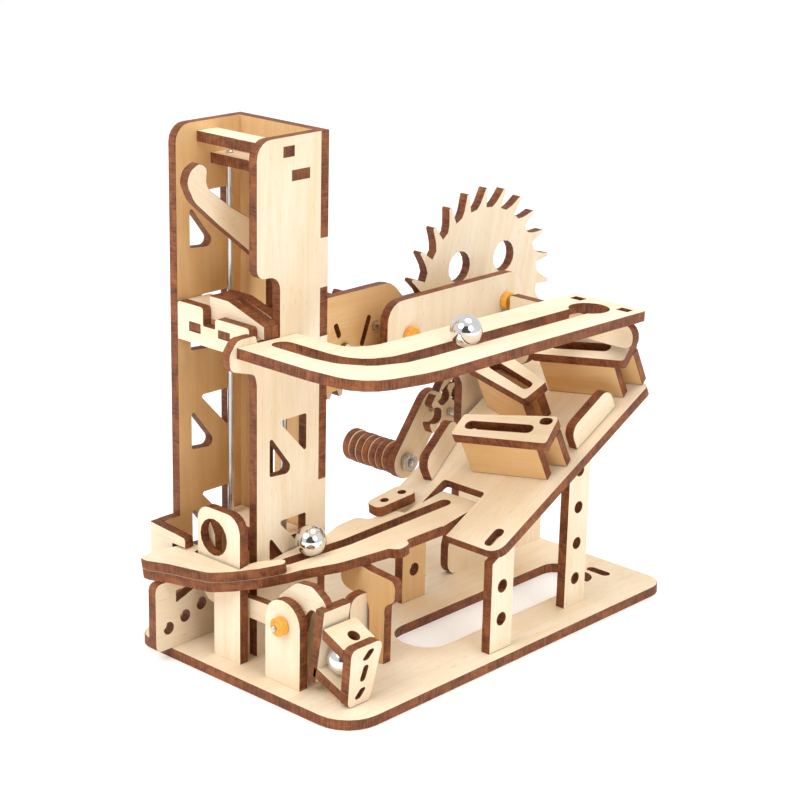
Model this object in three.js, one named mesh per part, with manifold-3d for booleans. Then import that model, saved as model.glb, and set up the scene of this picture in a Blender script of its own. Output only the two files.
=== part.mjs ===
// Hand-cranked marble run made of 3 mm plywood plates.
// Millimetres, +Z up. X runs along the base board, Y across it.
// The model is drawn from the front left corner of the base board's top face,
// and the whole assembly is then shifted so that the origin is the middle of the board's underside.

import * as THREE from 'three';
import { mergeVertices } from 'three/addons/utils/BufferGeometryUtils.js';
import Module from 'manifold-3d';

const wasm = await Module();
wasm.setup();

// ---------------------------------------------------------------- driving dimensions
const PLY = 3;
const BASE_LENGTH = 141;
const BASE_WIDTH = 86;
const SEAT_GAP = 0.1;
const ARC_STEP = Math.PI / 10;
const DEGREES = 180 / Math.PI;
const GEAR_FLANK = Math.tan(20 * Math.PI / 180);

const TOWER_FRONT = 13.4;
const TOWER_BACK = 37.2;
const TOWER_RIGHT = 48.9;
const TOWER_LEFT = 80.8;
const FENCE_X = 4.7;
const FENCE_FOOT = 24;
const FENCE_TOP = 33.6;
const TOWER_HEIGHT = 146.5;
const TRUSS_STEP = 29.5;

const ROD_RADIUS = 1;
const ROD_TOP = 138;
const ROD_X = 30;
const ROD_Y = [55.6, 77.2];

const TRACK_TOP = 92.2;
const TRACK_LEFT = 6;
const TRACK_FALL = 0.015;
const SLOT_HALF = 3.2;

const GEAR_MODULE = 2.5;
const BIG_TEETH = 24;
const CRANK_TEETH = 6;
const SMALL_TEETH = 6;
const LIFT_MODULE = 1.5;
const LIFT_TEETH = 8;
const IDLER_TEETH = 20;
const RACK_TEETH = 17;
const GEAR_LAYER = 60;
const LIFT_LAYER = 67;
const FRONT_PLATE_Y = 50;
const REAR_PLATE_Y = 63.6;
const BIG_AXLE = [118.4, 84];
const LIFT_AXLE = [82.49, 73.19];
const STAY = [75.3, 81.6];
const CRANK_AXLE = [105.5, 48.8];
const IDLER_AXLE = [61.95, 77.56];
const CRANK_END = [94, 33.6];
const AXLE_RADIUS = 1.5;
const AXLE_HOLE = 1.55;

const BOARD_ORIGIN = [60.9, 31.3];
const BOARD_SLOPE = 27.19 * Math.PI / 180;
const BOARD_LENGTH = 76;
const RAMP_HEIGHT = 12;

const LOWER_RISE = 0.153;
const LOWER_SLOPE = Math.atan(LOWER_RISE);
const LOWER_TOP = 25;

const BALL_RADIUS = 4.5;
const CAR_FLOOR = 31;
const LEVER_PIVOT = [31.3, 17.5];

// ---------------------------------------------------------------- materials
function wood() {
  return new THREE.MeshStandardMaterial({ color: 0xe9cfa0, roughness: 0.75, metalness: 0 });
}

function steel() {
  return new THREE.MeshStandardMaterial({ color: 0xc9ccd0, roughness: 0.2, metalness: 1 });
}

function capPlastic() {
  return new THREE.MeshStandardMaterial({ color: 0xf0a020, roughness: 0.4, metalness: 0 });
}

// ---------------------------------------------------------------- shapes
// The arc that rounds the corner at here, as points from the side of before to the side of after.
function cornerArc(before, here, after, radius) {
  const back = before.clone().sub(here);
  const ahead = after.clone().sub(here);
  const half = back.angleTo(ahead) / 2;
  const cut = Math.min(radius / Math.tan(half), 0.49 * Math.min(back.length(), ahead.length()));
  if (cut < 0.05) return [here];
  back.normalize();
  ahead.normalize();
  const centre = back.clone().add(ahead).setLength(cut / Math.cos(half)).add(here);
  const start = back.multiplyScalar(cut).add(here).sub(centre);
  const end = ahead.multiplyScalar(cut).add(here).sub(centre);
  const sweep = Math.atan2(start.cross(end), start.dot(end));
  const steps = Math.max(1, Math.ceil(Math.abs(sweep) / (cut < 3 ? 2 : 1) / ARC_STEP));
  const origin = new THREE.Vector2();
  return Array.from({ length: steps + 1 }, (_, i) => (
    start.clone().rotateAround(origin, sweep * i / steps).add(centre)
  ));
}

// True when the path hardly bends or hardly moves at this point, so that the point can go.
function isNeedless(before, here, after) {
  const into = here.clone().sub(before);
  const out = after.clone().sub(here);
  return into.length() < 0.02 || Math.abs(into.cross(out)) < 1e-3 * into.length() * out.length();
}

// A closed outline through corners [a, b, radius]; the radius rounds that corner.
function outline(corners, Kind = THREE.Shape) {
  const vectors = corners.map(([a, b]) => new THREE.Vector2(a, b));
  const count = corners.length;
  const points = corners.flatMap(([, , radius], i) => (
    radius ? cornerArc(vectors[(i + count - 1) % count], vectors[i], vectors[(i + 1) % count], radius)
      : [vectors[i]]
  ));
  const kept = [];
  points.forEach((point, i) => {
    const before = kept.length ? kept[kept.length - 1] : points[points.length - 1];
    if (!isNeedless(before, point, points[(i + 1) % points.length])) kept.push(point);
  });
  if (THREE.ShapeUtils.isClockWise(kept)) kept.reverse();
  return new Kind(kept);
}

function hole(corners) {
  return outline(corners, THREE.Path);
}

// The corners of a regular polygon that stands in for a circle.
function circlePoints(a, b, radius, sides = 16) {
  return Array.from({ length: sides }, (_, i) => {
    const angle = 2 * Math.PI * i / sides;
    return new THREE.Vector2(a + radius * Math.cos(angle), b + radius * Math.sin(angle));
  });
}

function roundHole(a, b, radius) {
  return new THREE.Path(circlePoints(a, b, radius));
}

function rectangle(a0, b0, a1, b1, radius = 0) {
  return [[a0, b0, radius], [a1, b0, radius], [a1, b1, radius], [a0, b1, radius]];
}

// A slot of even width along a centre line given by its points, with round ends.
// With an endRadius the slot runs out into a round hole about its last point.
function slotAlong(points, half, endRadius = 0) {
  const left = [];
  const right = [];
  for (let i = 0; i < points.length; i += 1) {
    const a = points[Math.max(i - 1, 0)];
    const b = points[Math.min(i + 1, points.length - 1)];
    const run = new THREE.Vector2(b[0] - a[0], b[1] - a[1]).normalize();
    left.push([points[i][0] - run.y * half, points[i][1] + run.x * half, i ? 1.5 * half : 0.9 * half]);
    right.push([points[i][0] + run.y * half, points[i][1] - run.x * half, i ? 1.5 * half : 0.9 * half]);
  }
  if (!endRadius) return hole([...left, ...right.reverse()]);

  const [lastA, lastB] = points[points.length - 1];
  const [beforeA, beforeB] = points[points.length - 2];
  const heading = Math.atan2(lastB - beforeB, lastA - beforeA);
  const neck = Math.PI - Math.asin(half / endRadius);
  const steps = 16;
  const bulb = [];
  for (let i = 0; i <= steps; i += 1) {
    const [a, b] = polar(endRadius, heading + neck - 2 * neck * i / steps);
    bulb.push([lastA + a, lastB + b]);
  }
  left.pop();
  right.pop();
  return hole([...left, ...bulb, ...right.reverse()]);
}

function extrude(shape, depth) {
  return new THREE.ExtrudeGeometry(shape, { depth, bevelEnabled: false });
}

// Lays an extruded outline (a, b) in a vertical plane across Y: a is X, b is Z, depth is Y.
function standAcrossY(geometry, depth) {
  return geometry.rotateX(Math.PI / 2).translate(0, depth, 0);
}

// Lays an extruded outline (a, b) in a vertical plane across X: a is Y, b is Z, depth is X.
function standAcrossX(geometry) {
  const turn = new THREE.Matrix4();
  turn.makeBasis(new THREE.Vector3(0, 1, 0), new THREE.Vector3(0, 0, 1), new THREE.Vector3(1, 0, 0));
  return geometry.applyMatrix4(turn);
}

// ---------------------------------------------------------------- booleans
function toSolid(geometry) {
  const bare = geometry.clone();
  bare.deleteAttribute('normal');
  bare.deleteAttribute('uv');
  const merged = mergeVertices(bare, 1e-4);
  return new wasm.Manifold(new wasm.Mesh({
    numProp: 3,
    vertProperties: new Float32Array(merged.attributes.position.array),
    triVerts: new Uint32Array(merged.index.array),
  }));
}

function toGeometry(solid) {
  const mesh = solid.getMesh();
  const geometry = new THREE.BufferGeometry();
  geometry.setAttribute('position', new THREE.BufferAttribute(new Float32Array(mesh.vertProperties), 3));
  geometry.setIndex(new THREE.BufferAttribute(new Uint32Array(mesh.triVerts), 1));
  geometry.computeVertexNormals();
  return geometry;
}

function join(geometries) {
  return toGeometry(geometries.map(toSolid).reduce((whole, next) => whole.add(next)));
}

// ---------------------------------------------------------------- placing
const assembly = new THREE.Group();
assembly.position.set(-BASE_LENGTH / 2, -BASE_WIDTH / 2, PLY);

function tiltedGroup(x, z, angle) {
  const group = new THREE.Group();
  group.position.set(x, 0, z);
  group.rotation.y = -angle;
  assembly.add(group);
  return group;
}

const upperTrackFrame = tiltedGroup(TRACK_LEFT, TRACK_TOP, -TRACK_FALL);
const boardFrame = tiltedGroup(BOARD_ORIGIN[0], BOARD_ORIGIN[1], BOARD_SLOPE);
const lowerTrackFrame = tiltedGroup(0, LOWER_TOP, LOWER_SLOPE);

function add(name, geometry, material, position = [0, 0, 0], parent = assembly) {
  const mesh = new THREE.Mesh(geometry, material);
  mesh.name = name;
  mesh.position.set(...position);
  parent.add(mesh);
  return mesh;
}

function flatPlate(name, shape, bottom, parent = assembly) {
  return add(name, extrude(shape, PLY), wood(), [0, 0, bottom], parent);
}

function plateAcrossY(name, shape, y) {
  return add(name, standAcrossY(extrude(shape, PLY), PLY), wood(), [0, y, 0]);
}

function plateAcrossX(name, shape, x) {
  return add(name, standAcrossX(extrude(shape, PLY)), wood(), [x, 0, 0]);
}

// ---------------------------------------------------------------- base
function buildBase() {
  const board = outline([
    [0, 0, 11], [BASE_LENGTH, 0, 7], [BASE_LENGTH, BASE_WIDTH, 7], [0, BASE_WIDTH, 7],
  ]);
  board.holes.push(hole([[50, 17, 8], [128.5, 17, 5], [128.5, 34.5, 5], [50, 34.5, 8]]));
  board.holes.push(hole(rectangle(87.2, 55, 90.8, 59.4)));
  board.holes.push(hole(rectangle(130.4, 15.5, 133.4, 23.5, 1.4)));
  flatPlate('base_plate', board, -PLY);
}

// ---------------------------------------------------------------- tower
// Tab heights where the side walls reach through the back wall.
const WALL_TABS = [[12, 22], [47, 75.6], [89, 103], [117, TOWER_HEIGHT]];

function backEdge() {
  const corners = [];
  let bottom = 0;
  for (const [from, to] of WALL_TABS) {
    corners.push([TOWER_BACK + PLY, bottom], [TOWER_BACK + PLY, from]);
    corners.push([TOWER_BACK, from], [TOWER_BACK, to]);
    bottom = to;
  }
  return corners;
}

function trussHoles(lowCorners, highCorners) {
  const left = lowCorners.map((z) => hole([[18.2, z, 0.6], [28.2, z - 0.8, 1.8], [18.2, z + 12, 0.6]]));
  const right = highCorners.map((z) => hole([[21.5, z, 0.6], [32.3, z - 11.5, 0.6], [32.3, z, 0.6]]));
  return [...left, ...right];
}

function repeated(start, count) {
  return Array.from({ length: count }, (_, i) => start + i * TRUSS_STEP);
}

function buildTower() {
  const cheekFront = FENCE_X + PLY;
  const left = outline([
    [TOWER_FRONT, 0], ...backEdge(), [TOWER_FRONT, TOWER_HEIGHT, 5],
    [TOWER_FRONT, FENCE_TOP], [cheekFront, FENCE_TOP], [cheekFront, FENCE_FOOT], [TOWER_FRONT, FENCE_FOOT],
  ]);
  left.holes.push(...trussHoles(repeated(23, 4), repeated(38.5, 4)));
  left.holes.push(hole(rectangle(23, 141, 27.2, 144)));
  left.holes.push(hole(rectangle(26.2, 134.3, 33, 137.3)));
  plateAcrossY('tower_left_wall', left, TOWER_LEFT);

  const notchBack = 22;
  const right = outline([
    [TOWER_FRONT, 0], ...backEdge(), [TOWER_FRONT, TOWER_HEIGHT, 5],
    [TOWER_FRONT, 109.2, 3], [notchBack, 109.2, 4], [notchBack, 91.3, 1], [13.6, 91.3, 2.5],
    [13, 94.2, 1], [6.2, 94.2, 3], [3.4, 90.5, 2.5], [3.6, 86, 2], [12.7, 83.3, 2], [TOWER_FRONT, 80],
  ]);
  right.holes.push(...trussHoles(repeated(23, 2), repeated(38.5, 2)));
  right.holes.push(hole(rectangle(23, 141, 27.2, 144)));
  right.holes.push(hole(rectangle(26.2, 134.3, 33, 137.3)));
  plateAcrossY('tower_right_wall', right, TOWER_RIGHT);

  const back = [];
  const outerRight = TOWER_RIGHT;
  const innerRight = TOWER_RIGHT + PLY;
  const innerLeft = TOWER_LEFT;
  const outerLeft = TOWER_LEFT + PLY;
  back.push([innerRight, 0], [innerLeft, 0]);
  for (const [from, to] of WALL_TABS) {
    back.push([innerLeft, from], [outerLeft, from], [outerLeft, to]);
    if (to < TOWER_HEIGHT) back.push([innerLeft, to]);
  }
  for (const [from, to] of [...WALL_TABS].reverse()) {
    if (to < TOWER_HEIGHT) back.push([innerRight, to]);
    back.push([outerRight, to], [outerRight, from], [innerRight, from]);
  }
  const backShape = outline(back);
  backShape.holes.push(hole(rectangle(LIFT_LAYER - 0.3, 21, LIFT_LAYER + PLY + 0.3, 103, 1)));
  plateAcrossX('tower_back_wall', backShape, TOWER_BACK);

  const inner = 0.1;
  const beamFront = 21;
  const beamBack = 28.4;
  const beam = outline([
    [beamFront, innerRight], [23.1, innerRight], [23.1, outerRight + inner],
    [27.1, outerRight + inner], [27.1, innerRight], [beamBack, innerRight], [beamBack, innerLeft],
    [27.1, innerLeft], [27.1, outerLeft - inner], [23.1, outerLeft - inner], [23.1, innerLeft],
    [beamFront, innerLeft],
  ]);
  flatPlate('tower_top_beam', beam, 141);

  const holder = outline(rectangle(26.3, outerRight + inner, 32.9, outerLeft - inner));
  for (const y of ROD_Y) holder.holes.push(roundHole(ROD_X, y, ROD_RADIUS + 0.05));
  flatPlate('rod_holder', holder, 134.3);

  for (const [name, y] of [['lift_rod_right', ROD_Y[0]], ['lift_rod_left', ROD_Y[1]]]) {
    const rod = new THREE.CylinderGeometry(ROD_RADIUS, ROD_RADIUS, ROD_TOP, 16).rotateX(Math.PI / 2);
    add(name, rod, steel(), [ROD_X, y, ROD_TOP / 2]);
  }

  const deflector = outline([
    [TOWER_BACK, 103, 0], [TOWER_BACK, 117, 0], [27, 121, 3], [19.6, 125.4, 4], [11, 131.6, 3],
    [10.1, 134, 2], [10.6, 137.8, 2], [7.6, 139.4, 2], [4.4, 137.6, 2], [3, 134.4, 3],
    [5.6, 129, 4], [14.1, 121.6, 5], [26.6, 111.5, 5],
  ]);
  plateAcrossY('ball_deflector', deflector, 64.9);
}

function buildExit() {
  const innerRight = TOWER_RIGHT + PLY;
  const front = outline([
    [innerRight, 86.5], [TOWER_LEFT, 86.5], [TOWER_LEFT, 97.5, 1], [70.3, 97.5, 1], [70.3, 92.3, 0.5],
    [65.5, 92.3, 0.5], [65.5, 95.4, 1], [innerRight, 95.4, 1],
  ]);
  front.holes.push(hole(rectangle(71.4, 89.8, 76, 92.5)));
  front.holes.push(hole(rectangle(59.6, 90.1, 64.2, 92.4)));
  plateAcrossX('exit_front_plate', front, TOWER_FRONT);

  const blockEnd = 71;
  const block = outline([
    [TOWER_RIGHT + 0.2, 92], [62, 93.6], [blockEnd, 93.6], [blockEnd, 100.3], [63.5, 100.3, 4],
    [TOWER_RIGHT + 0.2, 95.8],
  ]);
  const through = 21.8 - TOWER_FRONT - PLY;
  const whole = standAcrossX(extrude(block, through));
  const inside = outline([
    [innerRight, 93], [62, 93.6], [blockEnd, 93.6], [blockEnd, 100.3], [63.5, 100.3, 4],
    [innerRight, 96.9],
  ]);
  const rear = standAcrossX(extrude(inside, 25.4 - 21.8)).translate(through, 0, 0);
  add('exit_ramp_block', join([whole, rear]), wood(), [TOWER_FRONT + PLY, 0, 0]);
}

// ---------------------------------------------------------------- upper track
function buildUpperTrack() {
  const s = (x) => x - TRACK_LEFT;
  const wall = TOWER_RIGHT - SEAT_GAP;
  const track = outline([
    [s(6), wall], [s(6), 22, 18], [s(8), 4, 22], [s(30), -1, 30], [s(70), -0.4], [s(121.5), -0.4, 1],
    [s(121.5), 26.5, 1], [s(36), 26.5, 8], [s(28.4), 30, 8], [s(28), wall],
  ]);
  track.holes.push(slotAlong([
    [s(17.6), 46], [s(17.6), 29], [s(18.6), 22.4], [s(23), 16], [s(31), 12.9], [s(40), 12.4], [s(111), 12.4],
  ], SLOT_HALF, 6));
  track.holes.push(hole(rectangle(s(116), 2.5, s(119), 6.5)));
  track.holes.push(hole(rectangle(s(116), 19.5, s(119), 23.5)));
  flatPlate('upper_track', track, -PLY, upperTrackFrame);

  const support = outline([
    [46.4, 86.9, 1], [-0.2, 86.9, 5], [-0.2, 79.4, 3], [34.8, 79.4, 4], [39, 66, 4],
    [FRONT_PLATE_Y, 66], [FRONT_PLATE_Y, 80.6], [46.4, 80.6],
  ]);
  plateAcrossX('track_end_support', support, 116);
}

// ---------------------------------------------------------------- gear frame
function buildGearFrame() {
  const front = outline([
    [66, 92.6, 6], [66, 66, 4], [99.5, 66, 6], [99.5, 20, 10], [95.3, 12, 10], [95.3, 0, 4],
    [140.5, 0], [140.5, 34, 8], [129, 62, 10], [125, 92.6, 6],
  ]);
  for (const [x, z] of [BIG_AXLE, LIFT_AXLE, STAY, CRANK_AXLE]) front.holes.push(roundHole(x, z, AXLE_HOLE));
  plateAcrossY('gear_front_plate', front, FRONT_PLATE_Y);

  const rear = outline([
    [TOWER_BACK + PLY, 93.7], [TOWER_BACK + PLY, 65], [89, 65, 3], [89, 76, 3], [131, 76, 3],
    [131, 0], [141, 0], [141, 87.4, 5], [88, 87.4, 5], [82, 93.7, 6],
  ]);
  rear.holes.push(slotAlong([[58.4, 85.4], [60.3, 80.9]], 0.9));
  rear.holes.push(slotAlong([[72.7, 85.4], [69.4, 76.6]], 0.9));
  for (const [x, z] of [BIG_AXLE, LIFT_AXLE, STAY, IDLER_AXLE]) rear.holes.push(roundHole(x, z, AXLE_HOLE));
  plateAcrossY('gear_rear_plate', rear, REAR_PLATE_Y);
}

// ---------------------------------------------------------------- gears
// All gears are drawn in the X-Z plane around their own centre, then stood across Y.
function polar(radius, angle) {
  return [radius * Math.cos(angle), radius * Math.sin(angle)];
}

// One hooked tooth of the big gear; its steep face looks clockwise.
function hookedTooth(root, tip, pitchAngle, grow = 0) {
  const steep = -0.21 * pitchAngle;
  const swell = grow / (BIG_TEETH * GEAR_MODULE / 2);
  return [
    polar(root - 0.4, steep - swell),
    polar(tip - 1, steep - 0.02 * pitchAngle - swell),
    polar(tip + grow, steep + 0.01 * pitchAngle - swell),
    polar(tip + grow, steep + 0.1 * pitchAngle + swell),
    polar(tip - 2.4, steep + 0.24 * pitchAngle + swell),
    polar(root + 1.1, steep + 0.4 * pitchAngle + swell),
    polar(root - 0.4, steep + 0.62 * pitchAngle + swell),
  ];
}

const BIG_PITCH_RADIUS = BIG_TEETH * GEAR_MODULE / 2;
const BIG_ROOT = 27.5;
const BIG_TIP = 33;
const PINION_TIP = 9.2;

function bigGearSolid() {
  const step = 2 * Math.PI / BIG_TEETH;
  const rim = [];
  for (let i = 0; i < BIG_TEETH; i += 1) {
    const turn = i * step;
    for (const [a, b] of hookedTooth(BIG_ROOT, BIG_TIP, step)) {
      rim.push([a * Math.cos(turn) - b * Math.sin(turn), a * Math.sin(turn) + b * Math.cos(turn)]);
    }
  }
  const shape = new THREE.Shape(rim.map(([a, b]) => new THREE.Vector2(a, b)));
  for (let i = 0; i < 4; i += 1) {
    const [a, b] = polar(14.6, Math.PI / 4 + i * Math.PI / 2);
    shape.holes.push(roundHole(a, b, 4.8));
  }
  shape.holes.push(roundHole(0, 0, AXLE_HOLE));
  return extrude(shape, PLY);
}

function disc(radius, depth, sides, a = 0, b = 0) {
  return extrude(new THREE.Shape(circlePoints(a, b, radius, sides)), depth);
}

// Cuts the spaces of a small gear by rolling one tooth of its mate through the blank.
// mateTooth is an outline around the mate's centre; the mate's centre lies at distance along +X.
function rolledPinion(teeth, mateTeeth, mateTooth, distance, tipRadius) {
  const tooth = toSolid(extrude(outline(mateTooth), PLY + 2).translate(0, 0, -1));
  const ratio = teeth / mateTeeth;
  const sweep = 2.2 * Math.PI / teeth;
  const steps = 20;
  let space = null;
  for (let i = 0; i <= steps; i += 1) {
    const turn = -sweep + 2 * sweep * i / steps;
    const mateTurn = -turn * ratio;
    const cut = tooth
      .rotate([0, 0, 180 + mateTurn * DEGREES])
      .translate([distance, 0, 0])
      .rotate([0, 0, -turn * DEGREES]);
    space = space ? space.add(cut) : cut;
  }
  let blank = toSolid(disc(tipRadius, PLY, 6 * teeth));
  for (let i = 0; i < teeth; i += 1) {
    blank = blank.subtract(space.rotate([0, 0, 360 * i / teeth]));
  }
  return blank;
}

// Cuts a gear with the straight-sided tooth of a rack that rolls along its pitch circle.
function rackCutGear(teeth, module, backlash) {
  const pitchRadius = teeth * module / 2;
  const tipRadius = pitchRadius + 0.85 * module;
  const halfTooth = Math.PI * module / 4 + backlash / 2;
  const reach = 1.1 * module;
  const outer = 1.5 * module;
  const cutter = outline([
    [-reach, -(halfTooth - reach * GEAR_FLANK)], [-reach, halfTooth - reach * GEAR_FLANK],
    [outer, halfTooth + outer * GEAR_FLANK], [outer, -(halfTooth + outer * GEAR_FLANK)],
  ].reverse());
  const tooth = toSolid(extrude(cutter, PLY + 2).translate(pitchRadius, 0, -1));
  const sweep = 1.1 * 2 * Math.PI / Math.min(teeth, 10);
  const steps = 10;
  let space = null;
  for (let i = 0; i <= steps; i += 1) {
    const turn = -sweep + 2 * sweep * i / steps;
    const cut = tooth
      .translate([0, pitchRadius * turn, 0])
      .rotate([0, 0, -turn * DEGREES]);
    space = space ? space.add(cut) : cut;
  }
  let blank = toSolid(disc(tipRadius, PLY, 3 * teeth));
  for (let i = 0; i < teeth; i += 1) {
    blank = blank.subtract(space.rotate([0, 0, 360 * i / teeth]));
  }
  return blank;
}

function bored(solid, radius) {
  return solid.subtract(toSolid(disc(radius, PLY + 2, 20).translate(0, 0, -1)));
}

function addGear(name, geometry, centre, y) {
  add(name, standAcrossY(geometry, PLY), wood(), [centre[0], y, centre[1]]);
}

function bearingOf(from, to) {
  return Math.atan2(to[1] - from[1], to[0] - from[0]);
}

function axle(name, centre, from, to, collarRadius = 0, collarFrom = 0, collarTo = 0) {
  const profile = [new THREE.Vector2(0, from), new THREE.Vector2(AXLE_RADIUS, from)];
  if (collarRadius) {
    profile.push(new THREE.Vector2(AXLE_RADIUS, collarFrom), new THREE.Vector2(collarRadius, collarFrom));
    profile.push(new THREE.Vector2(collarRadius, collarTo), new THREE.Vector2(AXLE_RADIUS, collarTo));
  }
  profile.push(new THREE.Vector2(AXLE_RADIUS, to), new THREE.Vector2(0, to));
  const rod = new THREE.LatheGeometry(profile, 20);
  add(name, rod, collarRadius ? capPlastic() : steel(), [centre[0], 0, centre[1]]);
}

function buildGears() {
  addGear('big_gear', bigGearSolid(), BIG_AXLE, GEAR_LAYER);
  const mate = hookedTooth(BIG_ROOT - 3, BIG_TIP, 2 * Math.PI / BIG_TEETH, 0.75);
  const step = 2 * Math.PI / BIG_TEETH;

  for (const [name, centre, teeth] of [
    ['crank_pinion', CRANK_AXLE, CRANK_TEETH], ['small_gear', LIFT_AXLE, SMALL_TEETH],
  ]) {
    const distance = Math.hypot(BIG_AXLE[0] - centre[0], BIG_AXLE[1] - centre[1]);
    const toGear = bearingOf(centre, BIG_AXLE);
    // The cut is made with a tooth of the big gear on the centre line; the big gear's nearest tooth
    // lies off that line, so the pinion is turned by the matching share.
    const fromBig = toGear + Math.PI;
    const offset = fromBig - Math.round(fromBig / step) * step;
    const turn = toGear + offset * BIG_TEETH / teeth;
    const cut = bored(rolledPinion(teeth, BIG_TEETH, mate, distance, PINION_TIP), AXLE_HOLE);
    addGear(name, toGeometry(cut.rotate([0, 0, turn * DEGREES])), centre, GEAR_LAYER);
  }

  // Lift train: the pinion on the lift axle turns the idler, and the idler raises the rack.
  const backlash = 0.25;
  const idlerStep = 360 / IDLER_TEETH;
  const idler = rackCutGear(IDLER_TEETH, LIFT_MODULE, backlash);
  const stub = new THREE.CylinderGeometry(AXLE_RADIUS, AXLE_RADIUS, 5.2, 16).rotateX(Math.PI / 2);
  const idlerGear = toSolid(standAcrossY(toGeometry(idler), PLY));
  const stubSolid = toSolid(stub.rotateX(Math.PI / 2).translate(0, -2.4, 0));
  add('idler_gear', toGeometry(idlerGear.add(stubSolid)), wood(), [IDLER_AXLE[0], LIFT_LAYER, IDLER_AXLE[1]]);

  const toPinion = bearingOf(IDLER_AXLE, LIFT_AXLE) * DEGREES;
  const spaceOffset = toPinion - Math.round(toPinion / idlerStep) * idlerStep;
  // A tooth of the pinion must look into the idler's nearest space.
  const pinionTurn = 180 + toPinion + spaceOffset * IDLER_TEETH / LIFT_TEETH + 180 / LIFT_TEETH;
  const pinion = bored(rackCutGear(LIFT_TEETH, LIFT_MODULE, backlash), AXLE_HOLE);
  addGear('lift_pinion', toGeometry(pinion.rotate([0, 0, pinionTurn])), LIFT_AXLE, LIFT_LAYER);

  axle('big_gear_axle', BIG_AXLE, 47.2, 68, 2.8, 47.8, 49.8);
  axle('lift_axle', LIFT_AXLE, 48.6, 71);
  axle('plate_stay', STAY, 47.2, REAR_PLATE_Y + PLY, 2.8, 47.8, 49.8);
  axle('crank_shaft', CRANK_AXLE, 48, 70);
}

// ---------------------------------------------------------------- lift
function buildLift() {
  const car = extrude(outline([
    [25.8, 52.6, 2], [36.8, 52.6], [36.8, 80.1], [25.8, 80.1, 2],
  ]), PLY).translate(0, 0, CAR_FLOOR - PLY);
  const upright = extrude(outline(rectangle(33.8, 58, 36.8, 75)), 9).translate(0, 0, CAR_FLOOR - PLY - 9);
  let body = toSolid(join([car, upright]));
  for (const y of ROD_Y) {
    const bore = disc(ROD_RADIUS + 0.08, 20, 16, ROD_X, y);
    body = body.subtract(toSolid(bore.translate(0, 0, CAR_FLOOR - 15)));
  }
  add('lift_car', toGeometry(body), wood());

  // The rack's pitch line touches the idler's pitch circle.
  const pitchX = IDLER_AXLE[0] - IDLER_TEETH * LIFT_MODULE / 2;
  const tooth = Math.PI * LIFT_MODULE;
  const half = tooth / 4 - 0.12;
  const rootX = pitchX - 1.15 * LIFT_MODULE;
  const tipX = pitchX + 0.8 * LIFT_MODULE;
  const halfRoot = half + 1.15 * LIFT_MODULE * GEAR_FLANK;
  const halfTip = half - 0.8 * LIFT_MODULE * GEAR_FLANK;
  const backX = TOWER_BACK + PLY + 0.35;
  const armX = 36.8;
  const edge = [];
  const top = IDLER_AXLE[1] + tooth;
  for (let i = 0; i < RACK_TEETH; i += 1) {
    const z = top - i * tooth;
    edge.push([rootX, z + halfRoot], [tipX, z + halfTip], [tipX, z - halfTip], [rootX, z - halfRoot]);
  }
  const low = top - (RACK_TEETH - 1) * tooth - tooth / 2;
  const rack = outline([
    [backX, low], [backX, CAR_FLOOR - 9], [armX, CAR_FLOOR - 9], [armX, CAR_FLOOR - PLY],
    [backX, CAR_FLOOR - PLY], [backX, top + tooth / 2], [rootX, top + tooth / 2], ...edge, [rootX, low],
  ]);
  plateAcrossY('lift_rack', rack, LIFT_LAYER);
}

// ---------------------------------------------------------------- crank
function buildCrank() {
  const [sx, sz] = CRANK_AXLE;
  const [ex, ez] = CRANK_END;
  const length = Math.hypot(ex - sx, ez - sz);
  const arm = outline(rectangle(-5.5, -5.5, length + 5.5, 5.5, 5.4));
  arm.holes.push(roundHole(0, 0, AXLE_HOLE), roundHole(length, 0, AXLE_HOLE));
  const geometry = extrude(arm, PLY).rotateZ(Math.atan2(ez - sz, ex - sx));
  add('crank_arm', standAcrossY(geometry, PLY), wood(), [sx, LIFT_LAYER, sz]);

  const armBack = LIFT_LAYER + PLY;
  const disks = 7;
  const discDepth = 20 / disks;
  const profile = [new THREE.Vector2(AXLE_HOLE, armBack)];
  for (let i = 0; i < disks; i += 1) {
    const start = armBack + i * discDepth;
    profile.push(new THREE.Vector2(4.5, start), new THREE.Vector2(5.2, start + 0.5));
    profile.push(new THREE.Vector2(5.2, start + discDepth - 0.5), new THREE.Vector2(4.5, start + discDepth));
  }
  profile.push(new THREE.Vector2(AXLE_HOLE, armBack + 20), new THREE.Vector2(AXLE_HOLE, armBack));
  const unique = profile.filter((p, i) => i === 0 || p.distanceTo(profile[i - 1]) > 1e-6);
  add('crank_grip', new THREE.LatheGeometry(unique, 12), wood(), [ex, 0, ez]);

  const nut = new THREE.CylinderGeometry(3.1, 3.1, 2.4, 6).translate(0, LIFT_LAYER - 1.3, 0);
  const shank = new THREE.CylinderGeometry(AXLE_RADIUS, AXLE_RADIUS, 25, 16).translate(0, 75.9, 0);
  add('crank_bolt', join([nut, shank]), steel(), [ex, 0, ez]);
}

// ---------------------------------------------------------------- zigzag board
function buildBoard() {
  const board = outline([
    [0, 2, 4], [BOARD_LENGTH, 2, 2], [BOARD_LENGTH, 48.6, 2], [0, 48.6, 2], [0, 37],
    [18.8, 37, 1], [18.8, 21.2, 1], [0, 21.2],
  ]);
  board.holes.push(hole(rectangle(1.6, 5.5, 8.6, 8.6, 1.3)));
  flatPlate('zigzag_board', board, -PLY, boardFrame);
}

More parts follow.
